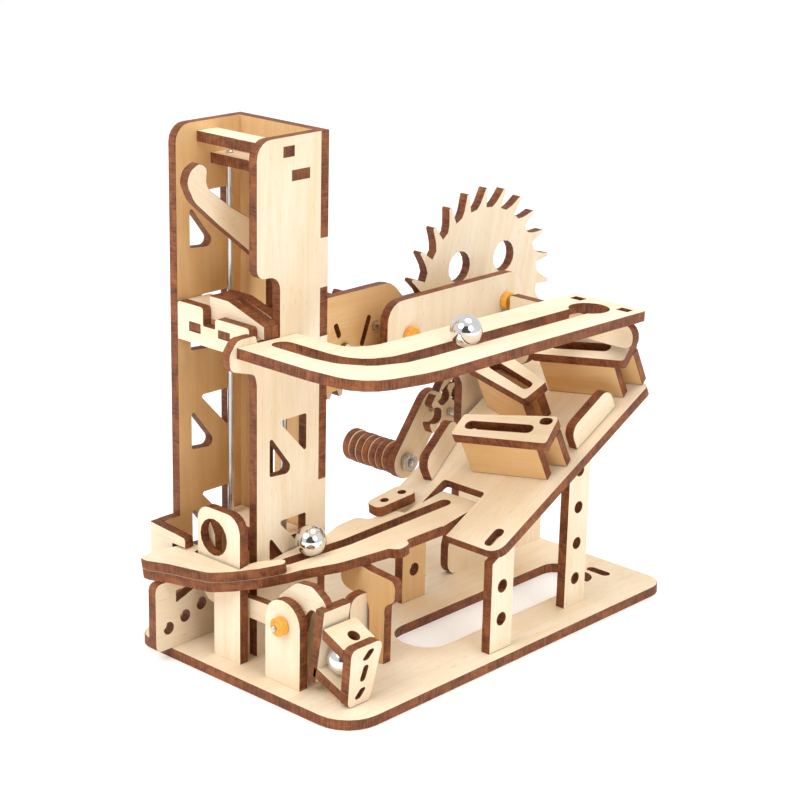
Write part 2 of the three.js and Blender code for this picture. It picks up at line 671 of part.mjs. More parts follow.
// A ramp is two walls that stand on the board and a slotted roof on top of them.
// low and high are the ends of the front wall's foot; side is +1 when the rear wall lies to the left.
function buildRamp(number, low, high, side) {
  const frame = new THREE.Group();
  frame.position.set(low[0], low[1], 0);
  frame.rotation.z = Math.atan2(high[1] - low[1], high[0] - low[0]);
  boardFrame.add(frame);
  const length = Math.hypot(high[0] - low[0], high[1] - low[1]);
  const top = RAMP_HEIGHT - SEAT_GAP;
  const spread = 6.2;

  const front = standAcrossY(extrude(outline([
    [0, SEAT_GAP], [length, SEAT_GAP], [length, top], [0, top],
  ]), PLY), PLY);
  const frontY = side > 0 ? 0 : -PLY;
  add(`ramp_${number}_front_wall`, front, wood(), [0, frontY, 0], frame);

  const rear = standAcrossY(extrude(outline([
    [2, SEAT_GAP], [length + 3.6, SEAT_GAP], [length + 3.6, top], [2, top],
  ]), PLY), PLY);
  const rearY = side > 0 ? spread : -spread - PLY;
  add(`ramp_${number}_rear_wall`, rear, wood(), [0, rearY, 0], frame);

  const roof = outline([
    [-2.4, -0.3 * side, 1], [length + 3.8, -0.3 * side, 1], [length + 3.2, 11.2 * side, 1.5],
    [-2, 8.6 * side, 1],
  ]);
  roof.holes.push(slotAlong([[0.5, 4.3 * side], [length - 2.6, 5 * side]], 1.7));
  roof.holes.push(hole([
    [length - 2, 7.3 * side, 1.3], [length + 1.9, 7.3 * side, 1.3], [length + 1.9, 10.1 * side, 1.3],
    [length - 2, 10.1 * side, 1.3],
  ]));
  flatPlate(`ramp_${number}_roof`, roof, RAMP_HEIGHT, frame);
}

function buildGuard(name, from, to) {
  const length = Math.hypot(to[0] - from[0], to[1] - from[1]);
  const shape = outline([[0, SEAT_GAP], [length, SEAT_GAP], [length, 8, 5], [0, 7.6, 5]]);
  const mesh = add(name, standAcrossY(extrude(shape, PLY), PLY), wood(), [from[0], from[1], 0], boardFrame);
  mesh.rotation.z = Math.atan2(to[1] - from[1], to[0] - from[0]);
}

// A post reaches up to the underside of the board.
function buildPost(name, x0, x1, y, holes) {
  const slope = Math.tan(BOARD_SLOPE);
  const drop = PLY / Math.cos(BOARD_SLOPE) + SEAT_GAP;
  const under = (x) => BOARD_ORIGIN[1] - drop + (x - BOARD_ORIGIN[0]) * slope;
  const post = outline([[x0, 0], [x1, 0], [x1, under(x1)], [x0, under(x0)]]);
  for (const z of holes) post.holes.push(roundHole((x0 + x1) / 2, z, 1.9));
  plateAcrossY(name, post, y);
}

function buildZigzag() {
  buildBoard();
  buildRamp(1, [24.5, 30.7], [30.2, 6.5], 1);
  buildRamp(2, [62.8, 30.3], [68.2, 5.9], 1);
  buildRamp(3, [45, 23], [49.8, 44.7], -1);
  buildGuard('guard_left', [16.8, 40.1], [36.4, 44.3]);
  buildGuard('guard_right', [44.1, 5.9], [64, 6]);
  buildPost('post_front', 60.9, 70.5, 3.6, [9.7, 19.8]);
  buildPost('post_right', 101.5, 111, 9, [8.5, 19.8, 31.2, 42.8]);
  buildPost('post_rear', 69.5, 80, 45.4, [9.7, 19.8]);
}

// ---------------------------------------------------------------- lower track
function buildLowerTrack() {
  const run = (x) => x / Math.cos(LOWER_SLOPE);
  const at = (points) => points.map(([x, y, r]) => [run(x), y, r]);
  const frontEdge = [
    [-5.2, 76.5, 1], [-5.2, 73.6, 1], [-3, 67, 3], [-1.5, 60, 4], [0, 53.5, 4], [4, 48.6, 4], [9.6, 43.4, 3],
    [15.8, 39.3, 2], [19.7, 37.4, 4],
  ];
  const track = outline(at([
    ...frontEdge, [28.4, 31.4, 6], [42, 25.6, 1], [43.2, 22.6, 2], [47.4, 22.6, 2], [48.4, 25, 1],
    [60, 22, 1], [60.2, 21.6], [76.5, 21.6, 1], [76.5, 36.5, 1], [60.2, 36.5], [59.6, 40.2, 1],
    [51.6, 42.6, 1], [50.4, 46.4, 2], [43.6, 47.4, 3], [36, 45.9, 3], [24, 48.7, 3], [12.4, 48.7, 1],
    [9.9, 47.9], [5.6, 47.9], [5.6, 66], [9.4, 66], [9.4, 70.6, 2], [0, 76.5, 2],
  ]));
  track.holes.push(slotAlong(at([[19, 45], [38, 38.3], [73, 30.7]]), 2));
  flatPlate('lower_track', track, -PLY, lowerTrackFrame);

  const layer = outline(at([
    ...frontEdge.slice(0, 8), [17.6, 41.4, 1], [13.2, 46.4, 3], [10.4, 47.9, 1], [6.2, 47.9], [6.2, 66],
    [9.4, 66], [9.4, 70.6, 2], [0, 76.5, 2],
  ]));
  flatPlate('lower_track_layer', layer, SEAT_GAP, lowerTrackFrame);

  const block = outline(at([[53.5, 40.4, 2], [68, 38, 2], [68, 45.6, 2], [54.6, 46.2, 2]]));
  block.holes.push(roundHole(run(58.5), 42.6, 1.3));
  block.holes.push(roundHole(run(65), 41.8, 1.3));
  flatPlate('track_guard_block', block, SEAT_GAP, lowerTrackFrame);

  const under = LOWER_TOP - PLY / Math.cos(LOWER_SLOPE) + 35 * LOWER_RISE - SEAT_GAP;
  const bracket = outline([
    [20.4, 0], [26, 0], [26.4, 17, 3], [37.5, 19.5, 3], [37.5, under], [30.5, under],
    [29, under], [26, under - 0.5], [16.5, under - 1.2, 2], [16.5, 20, 2], [20.2, 17.5, 2],
  ]);
  plateAcrossX('track_bracket', bracket, 35);
}

// ---------------------------------------------------------------- lift entry
function buildEntry() {
  const ring = outline([
    [48.3, 0], [58.9, 0], [58.9, 22, 2], [65.5, 24, 2], [65.5, 43.6, 4.5], [48.3, 43.6, 5],
  ]);
  ring.holes.push(roundHole(58.9, 35.2, 5.4));
  plateAcrossX('ring_plate', ring, 6.4);

  const side = outline([[-5.5, 0.05, 2], [20, 0.05, 1], [20, 20.6], [-5.5, 20.6, 2]]);
  for (const x of [-0.8, 5.4, 11.6]) side.holes.push(roundHole(x, 6.4 + 0.32 * (x + 0.8), 1.9));
  side.holes.push(hole([[2, 13.4, 0.3], [12.6, 17.2, 0.3], [2, 17.2, 0.3]]));
  plateAcrossY('entry_side_plate', side, 70);

  const fence = outline([
    [TOWER_LEFT + PLY, FENCE_FOOT], [TOWER_LEFT + PLY, FENCE_TOP], [68.8, FENCE_TOP - 1.2, 1], [68.8, 29.4],
    [74.2, 29.4], [74.2, FENCE_FOOT],
  ]);
  plateAcrossX('entry_fence', fence, FENCE_X);
}

// ---------------------------------------------------------------- counterweight lever
function archedPost() {
  const top = LEVER_PIVOT[1] + 7.3;
  const post = outline([[24.6, 0], [38, 0], [38, top, 6.5], [24.6, top, 6.5]]);
  post.holes.push(roundHole(...LEVER_PIVOT, AXLE_HOLE));
  return post;
}

function buildLever() {
  const bucketLeft = 8;
  const bucketWidth = 12.4;
  plateAcrossX('lever_front_post', archedPost(), 6.2);
  plateAcrossX('lever_rear_post', archedPost(), 14.6);

  const pin = [new THREE.Vector2(0, 2.4), new THREE.Vector2(0.9, 2.4), new THREE.Vector2(0.9, 3.8)];
  pin.push(new THREE.Vector2(2.7, 3.8), new THREE.Vector2(2.7, 6), new THREE.Vector2(AXLE_RADIUS, 6));
  pin.push(new THREE.Vector2(AXLE_RADIUS, 18), new THREE.Vector2(0, 18));
  const axis = new THREE.LatheGeometry(pin, 20).rotateZ(-Math.PI / 2);
  add('lever_axle', axis, capPlastic(), [0, LEVER_PIVOT[0], LEVER_PIVOT[1]]);

  // The arm turns on the axle; its far end carries the bucket and its near end is the ball gate.
  const arm = outline([
    [18.4, 25.6, 1], [19.8, 27.4, 3], [24, 30, 4], [30, 29.4, 5], [36.6, 24, 5], [38, 19.5, 3],
    [62, 18.6, 3], [62.4, 34, 2], [64.6, 38.2, 3], [68, 37.4, 3], [68.2, 16, 4], [65, 13, 4], [34, 13, 4],
    [28, 13.6, 3], [26.6, 20, 5], [24.4, 23.4, 3], [20.8, 22, 1],
  ]);
  arm.holes.push(roundHole(...LEVER_PIVOT, AXLE_HOLE));
  const armSolid = standAcrossX(extrude(arm, 2.6)).translate(10.2, 0, 0);
  const inner = standAcrossX(extrude(outline([
    [17.3, 25.2], [20.4, 25.4], [23.4, 3.4], [20.5, 3.2],
  ]), 10.4)).translate(bucketLeft, 0, 0);
  const floor = standAcrossX(extrude(outline([
    [20.9, 8.2], [10.7, 4.2], [10.7, 1.2], [21.4, 5.2],
  ]), bucketWidth - 2)).translate(bucketLeft, 0, 0);
  const web = standAcrossX(extrude(outline([
    [17.4, 17], [11, 13.8], [11, 4], [20.9, 8.2],
  ]), 1.2)).translate(bucketLeft + 9.9, 0, 0);
  add('lever_arm', join([armSolid, inner, floor, web]), wood());

  const top = standAcrossX(extrude(outline([
    [17.2, 20.4], [9.6, 16.8], [9.8, 13.6], [17.6, 17.3],
  ]), bucketWidth));
  const port = new THREE.CylinderGeometry(1.7, 1.7, 12, 16).rotateX(Math.PI / 2)
    .rotateX(0.44).translate(bucketWidth / 2 + 0.6, 12.8, 17);
  const lid = toGeometry(toSolid(top).subtract(toSolid(port)));
  add('bucket_top', lid, wood(), [bucketLeft - 0.4, 0, 0]);

  const face = outline([[0, 0, 1.5], [8.6, 0, 1.5], [bucketWidth, 17.2, 2], [0, 17.2, 2]]);
  face.holes.push(hole([[2, 1.7, 1.1], [4.6, 1.7, 1.1], [7.2, 4.6, 1.1], [4.6, 4.6, 1.1]]));
  face.holes.push(hole([[3.9, 6.6, 1], [6, 6.6, 1], [7.4, 11.2, 1], [5.3, 11.2, 1]]));
  face.holes.push(hole([[4, 12.7, 1.1], [6.8, 12.7, 1.1], [9.6, 15.5, 1.1], [6.8, 15.5, 1.1]]));
  const end = standAcrossY(extrude(face, 2.9), 2.9);
  const mesh = add('bucket_end', end, wood(), [bucketLeft - 0.4, 7.75, 0.25]);
  mesh.rotation.x = 0.07;
}

// ---------------------------------------------------------------- balls
function buildBalls() {
  const ball = () => new THREE.SphereGeometry(BALL_RADIUS, 16, 10);
  const above = (half) => Math.sqrt(BALL_RADIUS ** 2 - half ** 2) + SEAT_GAP;
  add('upper_ball', ball(), steel(), [56.6 - TRACK_LEFT, 12.4, above(SLOT_HALF)], upperTrackFrame);
  add('lower_ball', ball(), steel(), [28 / Math.cos(LOWER_SLOPE), 41.85, above(2)], lowerTrackFrame);
  add('caged_ball', ball(), steel(), [13, 14.6, 10.9]);
}

buildBase();
buildTower();
buildExit();
buildUpperTrack();
buildGearFrame();
buildGears();
buildLift();
buildCrank();
buildZigzag();
buildLowerTrack();
buildEntry();
buildLever();
buildBalls();

const marbleRun = new THREE.Group();
marbleRun.add(assembly);

export default marbleRun;
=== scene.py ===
import math

import bmesh
import bpy
from mathutils import Matrix, Vector


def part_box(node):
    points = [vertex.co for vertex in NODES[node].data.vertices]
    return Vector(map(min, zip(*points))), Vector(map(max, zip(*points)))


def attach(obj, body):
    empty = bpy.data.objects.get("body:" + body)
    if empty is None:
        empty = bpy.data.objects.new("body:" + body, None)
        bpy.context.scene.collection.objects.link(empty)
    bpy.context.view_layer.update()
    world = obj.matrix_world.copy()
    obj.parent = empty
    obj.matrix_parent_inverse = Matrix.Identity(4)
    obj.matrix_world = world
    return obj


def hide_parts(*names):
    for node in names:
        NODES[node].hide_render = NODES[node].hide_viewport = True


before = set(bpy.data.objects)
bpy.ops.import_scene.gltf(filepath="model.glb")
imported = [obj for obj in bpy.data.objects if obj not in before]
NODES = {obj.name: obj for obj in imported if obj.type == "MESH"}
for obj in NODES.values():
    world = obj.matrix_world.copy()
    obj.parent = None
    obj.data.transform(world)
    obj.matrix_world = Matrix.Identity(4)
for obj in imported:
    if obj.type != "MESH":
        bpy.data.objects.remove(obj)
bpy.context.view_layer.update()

MM = 0.001

# The parts' layout sheet counts millimetres from this point of the row frame.
SHEET_ORIGIN = Vector((-0.0705, -0.043, 0.003))

X = Vector((1, 0, 0))
Y = Vector((0, 1, 0))
Z = Vector((0, 0, 1))

PLY = 3.0
AXLE_RADIUS = 1.45
RIM_WIDTH = 0.16 * MM
RIM_ANGLE = 32
WELD_DISTANCE = 0.002 * MM
# A polygon whose normal is nearer than this to the plate's thickness belongs to a face, not to an edge.
FACE_COSINE = 0.93
CAMERA_PLACE = Vector((-0.43035, -0.38787, 0.25693))
CAMERA_AZIMUTH = -47.553
CAMERA_PITCH = 18.1125
CAMERA_ROLL = 1.263
LENS = 94.85


def at(x, y, z):
    """A point of the layout sheet, in millimetres, as metres in the row frame."""
    return SHEET_ORIGIN + Vector((x, y, z)) * MM


# ---------------------------------------------------------------- shader building
class Tree:
    """A short way to write a material's nodes."""

    def __init__(self, name):
        self.material = bpy.data.materials.new(name)
        self.material.use_nodes = True
        self.tree = self.material.node_tree
        self.shader = self.tree.nodes["Principled BSDF"]

    def node(self, kind, **settings):
        made = self.tree.nodes.new(kind)
        for key, value in settings.items():
            setattr(made, key, value)
        return made

    def link(self, source, target):
        self.tree.links.new(source, target)

    def feed(self, socket, value):
        if isinstance(value, bpy.types.NodeSocket):
            self.link(value, socket)
        else:
            socket.default_value = value

    def place(self):
        return self.node("ShaderNodeTexCoord").outputs["Object"]

    def along(self, vector, direction):
        dot = self.node("ShaderNodeVectorMath", operation="DOT_PRODUCT")
        self.link(vector, dot.inputs[0])
        dot.inputs[1].default_value = tuple(direction)
        return dot.outputs["Value"]

    def combine(self, x, y, z):
        made = self.node("ShaderNodeCombineXYZ")
        for socket, value in zip(made.inputs, (x, y, z)):
            self.feed(socket, value)
        return made.outputs[0]

    def math(self, operation, a, b):
        made = self.node("ShaderNodeMath", operation=operation)
        self.feed(made.inputs[0], a)
        self.feed(made.inputs[1], b)
        return made.outputs[0]

    def noise(self, vector, scale=1.0, detail=3.0, roughness=0.5, distortion=0.0):
        made = self.node("ShaderNodeTexNoise")
        self.link(vector, made.inputs["Vector"])
        made.inputs["Scale"].default_value = scale
        made.inputs["Detail"].default_value = detail
        made.inputs["Roughness"].default_value = roughness
        made.inputs["Distortion"].default_value = distortion
        return made.outputs[0]

    def ramp(self, value, *stops):
        """stops are (position, value or colour)."""
        made = self.node("ShaderNodeValToRGB")
        self.link(value, made.inputs[0])
        while len(made.color_ramp.elements) < len(stops):
            made.color_ramp.elements.new(1.0)
        for element, (position, colour) in zip(made.color_ramp.elements, stops):
            element.position = position
            if not isinstance(colour, tuple):
                colour = (colour, colour, colour)
            element.color = (*colour, 1.0)
        return made.outputs[0]

    def mix(self, amount, a, b, blend="MIX"):
        made = self.node("ShaderNodeMix", data_type="RGBA", blend_type=blend)
        colours = [s for s in made.inputs if s.type == "RGBA"]
        self.feed(made.inputs[0], amount)
        for socket, value in zip(colours, (a, b)):
            self.feed(socket, value if isinstance(value, bpy.types.NodeSocket) else (*value, 1.0))
        return [s for s in made.outputs if s.type == "RGBA"][0]

    def bump(self, height, strength, distance):
        made = self.node("ShaderNodeBump")
        made.inputs["Strength"].default_value = strength
        made.inputs["Distance"].default_value = distance
        self.link(height, made.inputs["Height"])
        self.link(made.outputs[0], self.shader.inputs["Normal"])

    def finish(self, colour, roughness, **constants):
        self.feed(self.shader.inputs["Base Color"], colour)
        self.feed(self.shader.inputs["Roughness"], roughness)
        for name, value in constants.items():
            self.shader.inputs[name.replace("_", " ")].default_value = value
        return self.material


# ---------------------------------------------------------------- wood
WOODS = {}
FLECK = (0.50, 0.285, 0.115)
# Each sheet of veneer: its base, its palest bands and its warmest streaks.
BIRCH = ((0.870, 0.705, 0.485), (0.930, 0.805, 0.625), (0.790, 0.575, 0.330))
# The darker, more orange veneer: partly the sheet's own tone, partly painted shade for parts that stand in
# shade.
HONEY_AND_SHADE = ((0.775, 0.475, 0.205), (0.830, 0.555, 0.275), (0.680, 0.375, 0.140))
# Nodes whose names start like this get the darker, more orange veneer, apart from the ramps' roofs: partly a
# real difference in sheet tone, partly painted shade on walls that stand in shade.
HONEY_AND_SHADE_NODES = (
    "tower_left_wall", "tower_back_wall", "track_bracket", "ramp_", "post_rear", "gear_rear_plate",
)


def in_plate(t, grain, thin):
    """The place as (along the grain, across it, through the plate), in metres."""
    across = thin.cross(grain)
    place = t.place()
    return [t.along(place, d) for d in (grain, across, thin)]


def stretched(t, axes, scales):
    return t.combine(*[t.math("MULTIPLY", a, s) for a, s in zip(axes, scales)])


def face_wood(grain, thin, veneer):
    pale, cream, warm = veneer
    t = Tree("ply_face")
    axes = in_plate(t, grain, thin)
    growth = t.noise(stretched(t, axes, (14, 150, 60)), 1.0, 4.0, 0.55, 0.6)
    lines = t.noise(stretched(t, axes, (55, 2300, 700)), 1.0, 3.0, 0.6, 0.25)
    cloud = t.noise(stretched(t, axes, (38, 38, 38)), 1.0, 2.0, 0.5)
    fleck = t.noise(stretched(t, axes, (330, 2600, 900)), 1.0, 1.0, 0.5)
    base = t.ramp(growth, (0.30, pale), (0.52, cream), (0.72, pale))
    base = t.mix(t.ramp(cloud, (0.42, 0.0), (0.80, 0.55)), base, warm)
    base = t.mix(t.ramp(lines, (0.50, 0.0), (0.76, 0.34)), base, warm)
    base = t.mix(t.ramp(fleck, (0.66, 0.0), (0.74, 0.28)), base, FLECK)
    t.bump(t.math("ADD", lines, t.math("MULTIPLY", growth, 0.4)), 0.22, 0.00018)
    roughness = t.ramp(lines, (0.30, 0.50), (0.75, 0.66))
    return t.finish(base, roughness, Specular_IOR_Level=0.35)


def burnt_edge(grain, thin):
    """The laser-cut side of a plate: char in fine strokes across the thickness, some of them paler."""
    t = Tree("ply_edge")
    axes = in_plate(t, grain, thin)
    strokes = t.noise(stretched(t, axes, (2100, 2100, 190)), 1.0, 3.0, 0.65, 0.2)
    patches = t.noise(stretched(t, axes, (210, 210, 330)), 1.0, 3.0, 0.6, 0.5)
    broad = t.noise(stretched(t, axes, (45, 45, 60)), 1.0, 2.0, 0.5)
    base = t.ramp(
        patches, (0.32, (0.090, 0.022, 0.009)), (0.50, (0.195, 0.055, 0.019)), (0.68, (0.310, 0.106, 0.037)),
    )
    base = t.mix(t.ramp(strokes, (0.45, 0.0), (0.75, 0.60)), base, (0.40, 0.160, 0.060))
    base = t.mix(t.ramp(strokes, (0.22, 0.75), (0.42, 0.0)), base, (0.050, 0.014, 0.008))
    base = t.mix(t.ramp(broad, (0.45, 0.0), (0.75, 0.40)), base, (0.11, 0.030, 0.012))
    t.bump(strokes, 0.35, 0.0002)
    return t.finish(base, t.ramp(patches, (0.3, 0.50), (0.7, 0.72)), Specular_IOR_Level=0.3)


def scorched_rim(grain, thin):
    """The thin brown line that the cut leaves round every face."""
    t = Tree("ply_rim")
    axes = in_plate(t, grain, thin)
    smoke = t.noise(stretched(t, axes, (300, 300, 300)), 1.0, 3.0, 0.6)
    base = t.ramp(
        smoke, (0.34, (0.100, 0.030, 0.012)), (0.60, (0.250, 0.095, 0.036)), (0.74, (0.48, 0.27, 0.12)),
    )
    t.bump(smoke, 0.2, 0.0001)
    return t.finish(base, 0.62, Specular_IOR_Level=0.3)


def wood_set(grain, thin, veneer=BIRCH):
    key = (veneer, *(round(c, 2) for c in (*grain, *thin)))
    if key not in WOODS:
        WOODS[key] = [face_wood(grain, thin, veneer), burnt_edge(grain, thin), scorched_rim(grain, thin)]
    return WOODS[key]


def upright(direction):
    """The direction or its opposite, whichever has its first real part above zero."""
    for part in direction:
        if abs(part) > 1e-3:
            return direction.copy() if part > 0 else -direction
    return direction.copy()


def plate_directions(mesh):
    """(grain, thin) of a plate: across its thickness, and along the longer of its own two sides."""
    areas = {}
    for polygon in mesh.polygons:
        normal = upright(polygon.normal)
        key = tuple(round(c, 2) for c in normal)
        total, _ = areas.get(key, (0.0, normal))
        areas[key] = (total + polygon.area, normal)
    thin = max(areas.values(), key=lambda pair: pair[0])[1].normalized()
    sides = [pair for pair in areas.values() if abs(pair[1].dot(thin)) < 0.05]
    if sides:
        first = max(sides, key=lambda pair: pair[0])[1].normalized()
    else:
        first = thin.orthogonal().normalized()
    second = thin.cross(first).normalized()
    spans = []
    for direction in (first, second):
        reach = [direction.dot(v.co) for v in mesh.vertices]
        spans.append(max(reach) - min(reach))
    grain = first if spans[0] > spans[1] else second
    return upright(grain), thin


def dress_wood(piece):
    """Gives a plate its face, edge and rim materials, and the bevel that shows the rim."""
    mesh = piece.data
    grain, thin = plate_directions(mesh)
    mesh.materials.clear()
    # Shaded walls get the darker, more orange veneer: painted shade in part, their own sheet tone in part.
    honey_and_shade = piece.name.startswith(HONEY_AND_SHADE_NODES) and not piece.name.endswith("roof")
    for material in wood_set(grain, thin, HONEY_AND_SHADE if honey_and_shade else BIRCH):
        mesh.materials.append(material)
    for polygon in mesh.polygons:
        polygon.material_index = 0 if abs(polygon.normal.dot(thin)) > FACE_COSINE else 1
        polygon.use_smooth = True
    for spare in ("custom_normal", "sharp_edge", "sharp_face"):
        if spare in mesh.attributes:
            mesh.attributes.remove(mesh.attributes[spare])
    weld = piece.modifiers.new("weld", "WELD")
    weld.merge_threshold = WELD_DISTANCE
    flatten = piece.modifiers.new("flatten", "DECIMATE")
    flatten.decimate_type = "DISSOLVE"
    flatten.angle_limit = math.radians(0.5)
    flatten.delimit = {"MATERIAL"}
    bevel = piece.modifiers.new("rim", "BEVEL")
    bevel.width = RIM_WIDTH
    bevel.segments = 1
    bevel.limit_method = "ANGLE"
    bevel.angle_limit = math.radians(RIM_ANGLE)
    bevel.use_clamp_overlap = True
    bevel.harden_normals = True
    bevel.material = 2


# ---------------------------------------------------------------- metal and plastic
def polished_steel():
    t = Tree("polished_steel")
    place = t.place()
    smear = t.noise(place, 260.0, 4.0, 0.6, 0.4)
    scratch = t.noise(place, 2400.0, 2.0, 0.5, 1.5)
    colour = t.ramp(smear, (0.3, (0.70, 0.71, 0.72)), (0.7, (0.82, 0.82, 0.82)))
    roughness = t.ramp(smear, (0.35, 0.045), (0.70, 0.11))
    t.bump(scratch, 0.02, 0.00002)
    return t.finish(colour, roughness, Metallic=1.0)


def drawn_steel():
    t = Tree("drawn_steel")
    place = t.place()
    axes = [t.along(place, direction) for direction in (X, Y, Z)]
    lines = t.noise(stretched(t, axes, (3200, 3200, 160)), 1.0, 3.0, 0.6)
    tint = t.noise(place, 120.0, 3.0, 0.6)
    colour = t.ramp(tint, (0.3, (0.50, 0.50, 0.51)), (0.7, (0.72, 0.71, 0.70)))
    t.bump(lines, 0.18, 0.00004)
    return t.finish(colour, t.ramp(lines, (0.3, 0.20), (0.7, 0.38)), Metallic=1.0)


def amber_plastic():
    t = Tree("amber_plastic")
    place = t.place()
    flow = t.noise(place, 420.0, 3.0, 0.6, 0.8)
    grain = t.noise(place, 3500.0, 2.0, 0.5)
    colour = t.ramp(flow, (0.3, (0.78, 0.31, 0.020)), (0.7, (0.90, 0.44, 0.045)))
    t.bump(grain, 0.10, 0.00003)
    return t.finish(
        colour, t.ramp(flow, (0.3, 0.26), (0.7, 0.40)), Subsurface_Weight=0.15, Subsurface_Scale=0.002,
    )


POLISHED = polished_steel()
DRAWN = drawn_steel()
AMBER = amber_plastic()


# ---------------------------------------------------------------- mesh building
def new_piece(name, bm, material, body):
    bmesh.ops.recalc_face_normals(bm, faces=bm.faces)
    mesh = bpy.data.meshes.new(name)
    bm.to_mesh(mesh)
    bm.free()
    piece = bpy.data.objects.new(name, mesh)
    bpy.context.scene.collection.objects.link(piece)
    if material:
        mesh.materials.append(material)
    for polygon in mesh.polygons:
        polygon.use_smooth = True
    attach(piece, body)
    return piece


def rounded(corners, steps=7):
    """Points of an outline of (a, b) or (a, b, radius) corners, each rounded by its radius."""
    points = []
    count = len(corners)
    for i, corner in enumerate(corners):
        here = Vector(corner[:2])
        radius = corner[2] if len(corner) > 2 else 0.0
        back = Vector(corners[i - 1][:2]) - here
        ahead = Vector(corners[(i + 1) % count][:2]) - here
        angle = back.angle(ahead)
        if not radius or angle > math.pi - 0.05:
            points.append(here)
            continue
        cut = min(radius / math.tan(angle / 2), 0.49 * min(back.length, ahead.length))
        start = here + back.normalized() * cut
        end = here + ahead.normalized() * cut
        for k in range(steps + 1):
            s = k / steps
            points.append(start * (1 - s) ** 2 + here * (2 * s * (1 - s)) + end * s ** 2)
    return points


def ply_plate(name, corners, start, spread_a, spread_b, depth, body):
    """A plate whose outline runs along spread_a and spread_b from the sheet's point start."""
    bm = bmesh.new()
    points = rounded(corners)
    origin = at(*start)
    near = [bm.verts.new(origin + (spread_a * p.x + spread_b * p.y) * MM) for p in points]
    far = [bm.verts.new(v.co + depth * MM) for v in near]
    bm.faces.new(near)
    bm.faces.new(list(reversed(far)))
    for i in range(len(near)):
        j = (i + 1) % len(near)
        bm.faces.new((near[i], near[j], far[j], far[i]))
    piece = new_piece(name, bm, None, body)
    dress_wood(piece)
    return piece


def plate_facing_x(name, corners, x, thickness, body):
    """A plate standing across X; the corners are (y, z) of the sheet."""
    return ply_plate(name, corners, (x, 0, 0), Y, Z, X * thickness, body)


def turned(name, profile, centre, axis, material, body, sides=40):
    """A turned part: profile is (distance along the axis, radius) in millimetres, from the point centre."""
    bm = bmesh.new()
    side = axis.orthogonal().normalized()
    other = axis.cross(side)
    origin = at(*centre)
    rings = []
    for length, radius in profile:
        middle = origin + axis * length * MM
        if radius < 1e-6:
            rings.append([bm.verts.new(middle)])
            continue
        ring = []
        for k in range(sides):
            angle = 2 * math.pi * k / sides
            reach = side * math.cos(angle) + other * math.sin(angle)
            ring.append(bm.verts.new(middle + reach * radius * MM))
        rings.append(ring)
    for low, high in zip(rings, rings[1:]):
        for k in range(sides):
            n = (k + 1) % sides
            if len(low) == 1 and len(high) == 1:
                continue
            if len(low) == 1:
                bm.faces.new((low[0], high[k], high[n]))
            elif len(high) == 1:
                bm.faces.new((low[k], low[n], high[0]))
            else:
                bm.faces.new((low[k], low[n], high[n], high[k]))
    piece = new_piece(name, bm, material, body)
    piece.data.set_sharp_from_angle(angle=math.radians(35))
    return piece


def ball(name, node, body):
    """A finely divided bearing ball in place of its faceted CAD node."""
    low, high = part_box(node)
    centre = (low + high) / 2
    radius = (high.z - low.z) / 2
    bm = bmesh.new()
    bmesh.ops.create_icosphere(bm, subdivisions=5, radius=radius)
    for v in bm.verts:
        v.co = v.co.normalized() * radius + centre
    piece = new_piece(name, bm, POLISHED, body)
    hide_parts(node)
    return piece


# ---------------------------------------------------------------- ply
# These nodes are replaced further down.
SPECIAL = {
    "lift_rod_right", "lift_rod_left", "big_gear_axle", "lift_axle", "plate_stay", "lever_axle",
    "crank_bolt", "crank_grip", "crank_shaft", "lever_arm", "exit_ramp_block",
    "upper_ball", "lower_ball", "caged_ball",
}

for name, node in NODES.items():
    if name not in SPECIAL:
        dress_wood(node)

# ---------------------------------------------------------------- balls
ball("ball_upper", "upper_ball", "ball_above")
ball("ball_lower", "lower_ball", "ball_below")
ball("ball_caged", "caged_ball", "lever")


# ---------------------------------------------------------------- rods and axles
def round_rod(name, node, axis, body):
    """A drawn rod with chamfered ends, in place of the plain node."""
    low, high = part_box(node)
    centre = (low + high) / 2
    start = (centre - SHEET_ORIGIN) / MM
    size = (high - low) / MM
    half = max(size) / 2
    radius = sorted(size)[0] / 2
    profile = [(-half, 0), (-half, radius - 0.25), (-half + 0.25, radius), (half - 0.25, radius)]
    profile += [(half, radius - 0.25), (half, 0)]
    piece = turned(name, profile, start, axis, DRAWN, body, 32)
    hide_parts(node)
    return piece


round_rod("rod_right", "lift_rod_right", Z, "frame")
round_rod("rod_left", "lift_rod_left", Z, "frame")
round_rod("shaft_of_crank", "crank_shaft", Y, "crank")
round_rod("shaft_of_lift", "lift_axle", Y, "lift_shafting")


